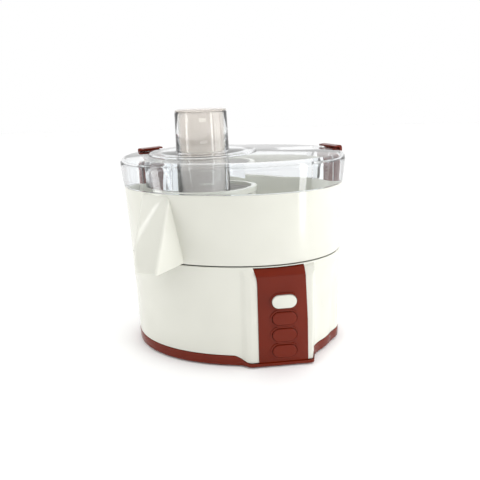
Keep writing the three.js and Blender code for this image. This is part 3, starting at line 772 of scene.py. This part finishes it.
# A thin moulded bead runs along the bend, just under the panel's slanting top.
BEAD_ACROSS, BEAD_OUT, BEAD_HEIGHT = 45.1, 105.4, 120.3
bead_middle = (middle_of_oval + tower_across * BEAD_ACROSS * MM + tower_out * BEAD_OUT * MM
               + Vector((0, 0, BEAD_HEIGHT * MM)))
cut(panel, rod(bead_middle, 0.9, 58.2, tower_across), "UNION")


def stadium(name, across, z, length, width, out, depth):
    # A long rounded plug on the tower: a cylinder whose halves are pulled apart.
    clear_selection()
    bpy.ops.mesh.primitive_cylinder_add(vertices=64, radius=width / 2 * MM, depth=depth * MM,
                                        end_fill_type="NGON")
    piece = bpy.context.object
    piece.name = name
    for vertex in piece.data.vertices:
        vertex.co.x += math.copysign((length - width) / 2 * MM, vertex.co.x)
        vertex.co.z += depth / 2 * MM
    place = on_tower(out)
    place.translation += tower_across * across * MM + Vector((0, 0, z * MM))
    piece.matrix_world = place
    settle(piece)
    return piece


KEY_ACROSS = 48.2
KEY_HEIGHTS = (88, 66, 44, 22)
for z in KEY_HEIGHTS:
    cut(panel, stadium("collar", KEY_ACROSS, z, 35, 21.8, 98, 9.5), "UNION")
for z in KEY_HEIGHTS:
    cut(panel, stadium("key_hole", KEY_ACROSS, z, 31.2, 18.2, 90, 30))
soften(panel, 0.45, 3)
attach(panel, "base")
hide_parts("control_panel")
print("panel faces", len(panel.data.polygons))

# %% [markdown]
# ## Keys
# Four push keys stand in the panel's collars: a white stop key and three red ones. One key is drawn
# with a rounded edge and a slightly pillowed face, then copied, each copy with its own mesh.

# %% Keys
first = stadium("key_cap", KEY_ACROSS, KEY_HEIGHTS[0], 29.5, 16.5, 100.4, 8.6)
for face in first.data.polygons:
    face.select = face.normal.dot(tower_out) > 0.9
bpy.ops.object.mode_set(mode="EDIT")
bpy.ops.mesh.select_mode(type="FACE")
for inward, lift in ((1.6 * MM, 0), (1.8 * MM, 0.12 * MM), (2.2 * MM, 0.06 * MM)):
    bpy.ops.mesh.inset(thickness=inward, depth=lift)
leave_edit()
soften(first, 1.25, 5, 50)
keys = {}
for name, z in zip(("stop", "pulse", "low", "high"), KEY_HEIGHTS):
    key = first if name == "stop" else first.copy()
    if name != "stop":
        key.data = first.data.copy()
        bpy.context.collection.objects.link(key)
        for vertex in key.data.vertices:
            vertex.co.z += (z - KEY_HEIGHTS[0]) * MM
    key.name = "cap_" + name
    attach(key, "key_" + name)
    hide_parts("button_" + name)
    keys[name] = key
print("keys made", sorted(keys))

# %% [markdown]
# ## Clamps
# A clamp at each rear corner hooks over the lid's edge. Its side was drawn as one outline, extruded to
# its width, and joined to a round barrel for the hinge pin.

# %% Clamps
CLAMP_OUTLINE = [(-6.5, 255), (1.9, 255), (1.9, 240), (1.9, 120), (-4, 113), (-4, 103.6), (-1, 103.4),
                 (3, 105.4), (4.4, 108), (5, 112), (5, 150), (5.8, 200), (5.8, 253.4), (5.4, 255.4),
                 (4.4, 256.8), (2.8, 257.6), (0.5, 257.8), (-6.5, 257)]
CLAMP_WIDTH = 34
for side, name in ((-1, "left"), (1, "right")):
    outward = Vector((side * clamp_out.x, clamp_out.y, 0))
    along = outward.cross(Vector((0, 0, 1)))
    place = Matrix((outward, Vector((0, 0, 1)), along)).transposed().to_4x4()
    foot = middle_of_oval + Vector((side * clamp_x * MM, clamp_y * MM, 0))
    place.translation = foot - along * CLAMP_WIDTH / 2 * MM
    clamp = outline_piece("clamp_arm_" + name, CLAMP_OUTLINE, CLAMP_WIDTH, place)
    hinge = foot - outward * 6 * MM + Vector((0, 0, 108 * MM))
    cut(clamp, rod(hinge, 4.8, CLAMP_WIDTH, along, sides=48), "UNION")
    cut(clamp, rod(hinge, 1.5, 44, along))
    soften(clamp, 1.1, 4, 40)
    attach(clamp, "clamp_" + name)
    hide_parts("clamp_" + name)
    print(clamp.name, "faces", len(clamp.data.polygons))

# %% [markdown]
# ## Materials
# A colour is written as the hex value a painter would pick on screen, and one function turns it to
# the linear light Blender works in. One helper adds a node, sets it and links it.

# %% Colour and node helpers
def linear(hex_colour):
    channels = [int(hex_colour[i:i + 2], 16) / 255 for i in (1, 3, 5)]
    return [c / 12.92 if c <= 0.04045 else ((c + 0.055) / 1.055) ** 2.4 for c in channels] + [1]


def node(tree, kind, links=(), values=(), **settings):
    # Add one node: settings are its own properties, values fill sockets, links join sockets.
    made = tree.nodes.new(kind)
    for key, value in settings.items():
        setattr(made, key, value)
    for socket, value in values:
        made.inputs[socket].default_value = value
    for socket, source in links:
        tree.links.new(source, made.inputs[socket])
    return made


def new_material(name, **numbers):
    material = bpy.data.materials.new(name)
    material.use_nodes = True
    tree = material.node_tree
    tree.nodes.clear()
    shader = node(tree, "ShaderNodeBsdfPrincipled")
    for key, value in numbers.items():
        shader.inputs[key.replace("_", " ")].default_value = value
    output = node(tree, "ShaderNodeOutputMaterial", [("Surface", shader.outputs[0])])
    return material, tree, shader, output


def per_metre(millimetres):
    # Noise scale whose grains are about this many millimetres across.
    return 1000 / millimetres


def noise(tree, size, detail=2.0, stretch=(1, 1, 1)):
    place = node(tree, "ShaderNodeTexCoord")
    scaled = node(tree, "ShaderNodeMapping", [("Vector", place.outputs["Object"])], [("Scale", stretch)])
    return node(tree, "ShaderNodeTexNoise", [("Vector", scaled.outputs[0])],
                [("Scale", per_metre(size)), ("Detail", detail)])


def spread(tree, source, low, high):
    # Turn a pattern's middle range into a range of values.
    return node(tree, "ShaderNodeMapRange", [("Value", source)],
                [("From Min", 0.3), ("From Max", 0.7), ("To Min", low), ("To Max", high)])


def two_colours(tree, source, dark, light):
    ramp = node(tree, "ShaderNodeValToRGB", [("Fac", source)])
    ramp.color_ramp.elements[0].position = 0.3
    ramp.color_ramp.elements[1].position = 0.7
    ramp.color_ramp.elements[0].color = linear(dark)
    ramp.color_ramp.elements[1].color = linear(light)
    return ramp


def grain(tree, shader, size, height):
    # A fine raised grain, its height in millimetres.
    texture = noise(tree, size)
    bump = node(tree, "ShaderNodeBump", [("Height", texture.outputs[0])],
                [("Strength", 1.0), ("Distance", height * MM)])
    tree.links.new(bump.outputs[0], shader.inputs["Normal"])


print("white reads as", [round(c, 3) for c in linear("#F1F0EC")])

# %% [markdown]
# Moulded ABS has a satin gloss: the tool's polish gives it sharp highlights, softened by a fine grain
# of about half a millimetre. Its colour drifts a little over each part, as pigment does. The white is
# a touch warm, and the red-brown is the same plastic with pigment.

# %% Moulded ABS
def moulded_abs(name, dark, light, roughness, grain_height=0.004, sheen=0.5):
    # Injection-moulded ABS: even colour, soft gloss, IOR of about 1.53.
    material, tree, shader, _ = new_material(name, IOR=1.53, Specular_IOR_Level=sheen)
    drift = noise(tree, 55, 1.5)
    tree.links.new(two_colours(tree, drift.outputs[0], dark, light).outputs[0], shader.inputs["Base Color"])
    polish = noise(tree, 9, 3)
    tree.links.new(spread(tree, polish.outputs[0], roughness - 0.03, roughness + 0.03).outputs[0],
                   shader.inputs["Roughness"])
    grain(tree, shader, 0.7, grain_height)
    return material


white_abs = moulded_abs("white_moulded_abs", "#D9D9CF", "#DEDED4", 0.13)
red_brown_abs = moulded_abs("red_brown_moulded_abs", "#661B07", "#70200A", 0.2, sheen=0.2)
print("plastics", white_abs.name, red_brown_abs.name)

# %% [markdown]
# The lid and the pusher are clear moulded plastics. Light passes through them, so their shadow is let
# through too: for lamp rays the surface counts as nearly open, as thin clear plastic is. The lid is
# almost colourless with a cool edge, and the pusher is a smoky tint that scatters part of the light.

# %% Clear plastics
def clear_moulding(name, colour, shadow, roughness, ior, clear=1.0):
    material, tree, shader, output = new_material(name, IOR=ior, Transmission_Weight=clear)
    drift = noise(tree, 40, 1)
    pale, deep = colour
    tree.links.new(two_colours(tree, drift.outputs[0], deep, pale).outputs[0], shader.inputs["Base Color"])
    polish = noise(tree, 12, 2)
    tree.links.new(spread(tree, polish.outputs[0], roughness * 0.6, roughness * 1.4).outputs[0],
                   shader.inputs["Roughness"])
    open_way = node(tree, "ShaderNodeBsdfTransparent", [], [("Color", linear(shadow))])
    lamps = node(tree, "ShaderNodeLightPath")
    mix = node(tree, "ShaderNodeMixShader",
               [("Fac", lamps.outputs["Is Shadow Ray"]), (1, shader.outputs[0]), (2, open_way.outputs[0])])
    tree.links.new(mix.outputs[0], output.inputs["Surface"])
    return material


clear_san = clear_moulding("clear_styrene_acrylonitrile", ("#FCFDFE", "#F9FBFC"), "#FAFBFC", 0.02, 1.5)
smoky_san = clear_moulding("smoky_styrene_acrylonitrile", ("#F3EEE8", "#EDE7E1"), "#F1EEEA", 0.05, 1.5, 0.68)
print("clear plastics", clear_san.name, smoky_san.name)

# %% [markdown]
# The filter cone is thin stainless sheet with etched holes. Real holes are 0.4 mm wide at 0.8 mm
# apart, too fine to show, so they are drawn three times as coarse. The pattern follows the cone
# through its own UV map, measured in millimetres along the sheet.

# %% Metals
def unroll(piece, radius):
    # UV in millimetres: round the axis, and up the slope.
    layer = piece.data.uv_layers.new(name="sheet")
    for face in piece.data.polygons:
        around = math.atan2(face.center.y - AXIS.y, face.center.x - AXIS.x)
        for loop in face.loop_indices:
            point = piece.data.vertices[piece.data.loops[loop].vertex_index].co
            turn = math.atan2(point.y - AXIS.y, point.x - AXIS.x) - around
            turn = around + (turn + math.pi) % (2 * math.pi) - math.pi
            layer.data[loop].uv = (turn * radius, point.z * 1000)


def perforated_steel(name, pitch):
    # Etched stainless sheet: bright land between holes in even rows, the holes painted greyer as painted
    # shade for the dark seen through them.
    material, tree, shader, _ = new_material(name, Metallic=1.0, Roughness=0.5)
    sheet = node(tree, "ShaderNodeUVMap", uv_map="sheet")
    cells = node(tree, "ShaderNodeTexVoronoi", [("Vector", sheet.outputs[0])],
                 [("Scale", 1 / pitch), ("Randomness", 0.0)], voronoi_dimensions="2D")
    hole = node(tree, "ShaderNodeMapRange", [("Value", cells.outputs["Distance"])],
                [("From Min", 0.24), ("From Max", 0.32), ("To Min", 0), ("To Max", 1)])
    # The hole pattern is real, but its greyer colour is painted shade: it stands for the dark a real hole
    # would show.
    ramp = node(tree, "ShaderNodeValToRGB", [("Fac", hole.outputs[0])])
    ramp.color_ramp.elements[0].color = linear("#A5A19B")
    ramp.color_ramp.elements[1].color = linear("#E6E4E0")
    tree.links.new(ramp.outputs[0], shader.inputs["Base Color"])
    bump = node(tree, "ShaderNodeBump", [("Height", hole.outputs[0])], [("Distance", 0.15 * MM)])
    tree.links.new(bump.outputs[0], shader.inputs["Normal"])
    return material


def worked_metal(name, dark, light, roughness, size, stretch, height):
    # A metal whose tool marks run along its long side.
    material, tree, shader, _ = new_material(name, Metallic=1.0)
    marks = noise(tree, size, 3, stretch)
    tree.links.new(two_colours(tree, marks.outputs[0], dark, light).outputs[0], shader.inputs["Base Color"])
    tree.links.new(spread(tree, marks.outputs[0], roughness - 0.07, roughness + 0.07).outputs[0],
                   shader.inputs["Roughness"])
    bump = node(tree, "ShaderNodeBump", [("Height", marks.outputs[0])], [("Distance", height * MM)])
    tree.links.new(bump.outputs[0], shader.inputs["Normal"])
    return material


unroll(cone, 60)
mesh_steel = perforated_steel("etched_stainless_sheet", 2.2)
bright_steel = worked_metal("turned_bright_steel", "#B9B8B6", "#CFCECC", 0.26, 1.2, (1, 1, 6), 0.01)
alloy = worked_metal("die_cast_zinc_alloy", "#8F9193", "#A5A7A9", 0.5, 1.5, (1, 1, 1), 0.03)
laminations = worked_metal("stacked_lamination_steel", "#55575B", "#74767A", 0.45, 2.0,
                           (0.05, 0.05, 3), 0.05)
copper_wire = worked_metal("enamelled_copper_wire", "#8A4526", "#B2653A", 0.33, 2.0, (0.2, 0.2, 2.5), 0.15)
print("metals ready")

# %% [markdown]
# Feet and seals are soft rubber, dull because its skin is finely rough. Fan, brush holders and
# switches are dark glass-filled nylon, duller than ABS and faintly mottled.

# %% Rubber and dark plastic
dark_rubber = moulded_abs("soft_dark_rubber", "#151414", "#1D1B1B", 0.75, 0.02)
dark_nylon = moulded_abs("dark_glass_filled_nylon", "#1D1D1F", "#28282B", 0.5, 0.01)
FINISHES = {"white_plastic": white_abs, "red_brown_plastic": red_brown_abs, "dark_rubber": dark_rubber,
            "steel": bright_steel, "cast_alloy": alloy, "lamination_steel": laminations,
            "copper": copper_wire, "dark_plastic": dark_nylon, "clear_plastic": clear_san,
            "smoky_plastic": smoky_san}


def finish(piece, material):
    piece.data.materials.clear()
    piece.data.materials.append(material)


made = {housing: white_abs, tray: red_brown_abs, bowl: white_abs, spout: white_abs, lid: clear_san,
        guide: clear_san, pusher: smoky_san, rim: white_abs, cone: mesh_steel, base: white_abs,
        disc: bright_steel, panel: red_brown_abs}
for piece, material in made.items():
    finish(piece, material)
for name, key in keys.items():
    finish(key, white_abs if name == "stop" else red_brown_abs)
for side in ("left", "right"):
    finish(bpy.data.objects["clamp_arm_" + side], red_brown_abs)
print("new pieces painted", len(made) + 6)

# %% [markdown]
# The frame's own screws, feet, motor and bearings stay as they are. Each takes the finish that the
# record names for it.

# %% Finishes for the frame's own pieces
slot_of = {row["node"]: row["material_slot"] for row in frame["record"]["subparts"]}
for name, piece in frame["nodes"].items():
    for k in range(max(1, len(piece.data.materials))):
        if k < len(piece.data.materials):
            piece.data.materials[k] = FINISHES[slot_of[name]]
        else:
            piece.data.materials.append(FINISHES[slot_of[name]])
print("frame pieces painted", len(slot_of))

# %% [markdown]
# ## Table, light and camera
# The machine stands on a plain white table in a bright room, a little dimmer behind the camera and
# brighter overhead. Two narrow upright strips close to it give the long highlights at its front
# corners, a wide soft box above keeps the table white, a fill on the right brightens that side, and a
# low bar in front lights the panel.

# %% Table and world
clear_selection()
bpy.ops.mesh.primitive_plane_add(size=8, location=(0, 0, 0))
table = bpy.context.object
table.name = "studio_table"
paper, tree, shader, _ = new_material("plain_white_paper", Roughness=0.9)
tree.links.new(two_colours(tree, noise(tree, 200, 1).outputs[0], "#FBFBFA", "#FCFCFC").outputs[0],
               shader.inputs["Base Color"])
finish(table, paper)
world = bpy.data.worlds.new("bright_room")
bpy.context.scene.world = world
world.use_nodes = True
room_tree = world.node_tree
around = node(room_tree, "ShaderNodeTexCoord")
parts = node(room_tree, "ShaderNodeSeparateXYZ", [("Vector", around.outputs["Generated"])])
wall_light = node(room_tree, "ShaderNodeMapRange", [("Value", parts.outputs["Y"])],
                  [("From Min", -0.75), ("From Max", 0.25), ("To Min", 0.45), ("To Max", 1.0)])
ceiling = node(room_tree, "ShaderNodeMapRange", [("Value", parts.outputs["Z"])],
               [("From Min", 0.35), ("From Max", 0.8), ("To Min", 0.0), ("To Max", 0.34)])
whole_room = node(room_tree, "ShaderNodeMath", [(0, wall_light.outputs[0]), (1, ceiling.outputs[0])],
                  operation="ADD")
room_tree.links.new(whole_room.outputs[0], room_tree.nodes["Background"].inputs["Color"])
bpy.context.scene.view_settings.view_transform = "Standard"
print("table and world ready")

# %% Soft boxes
def soft_box(name, place, look_at, width, height, watts):
    clear_selection()
    bpy.ops.object.light_add(type="AREA", location=place)
    lamp = bpy.context.object
    lamp.name = name
    lamp.data.shape = "RECTANGLE"
    lamp.data.size = width
    lamp.data.size_y = height
    lamp.data.energy = watts
    lamp.rotation_euler = (Vector(look_at) - Vector(place)).to_track_quat("-Z", "Y").to_euler()


soft_box("left_strip", (-0.442, -0.273, 0.32), (-0.072, -0.073, 0.25), 0.075, 0.62, 0.55)
soft_box("right_strip", (0.46, -0.27, 0.32), (0.096, -0.061, 0.25), 0.075, 0.62, 0.7)
soft_box("top_soft_box", (0, 0.1, 2.4), (0, 0, 0.2), 3.0, 3.0, 5)
soft_box("right_fill", (1.6, -0.1, 0.7), (0, 0, 0.15), 0.9, 1.2, 6)
soft_box("front_bar", (0.55, -1.5, 0.55), (0, 0, 0.15), 0.9, 0.1, 0.7)

# %% [markdown]
# The camera stands a little to the right and above the machine, about 0.64 m from its middle, and
# is rolled by two degrees, as a hand-held one is.

# %% Camera
DISTANCE = 0.6394
HEIGHT = 0.3303
swing = math.radians(11.02)
yaw = swing + math.radians(-0.68)
pitch = math.radians(16.94)
roll = math.radians(-2.13)
forward = Vector((-math.sin(yaw) * math.cos(pitch), math.cos(yaw) * math.cos(pitch), -math.sin(pitch)))
level = Vector((math.cos(yaw), math.sin(yaw), 0))
upright = level.cross(forward)
camera_right = level * math.cos(roll) + upright * math.sin(roll)
camera_up = upright * math.cos(roll) - level * math.sin(roll)
clear_selection()
bpy.ops.object.camera_add(location=(math.sin(swing) * DISTANCE, -math.cos(swing) * DISTANCE + OVAL_Y,
                                    HEIGHT))
camera = bpy.context.object
turned = Matrix((camera_right, camera_up, -forward)).transposed().to_4x4()
turned.translation = camera.location
camera.matrix_world = turned
camera.data.sensor_width = 36
camera.data.lens = 36.71
bpy.context.scene.camera = camera
print("camera at", tuple(round(c, 3) for c in camera.location))
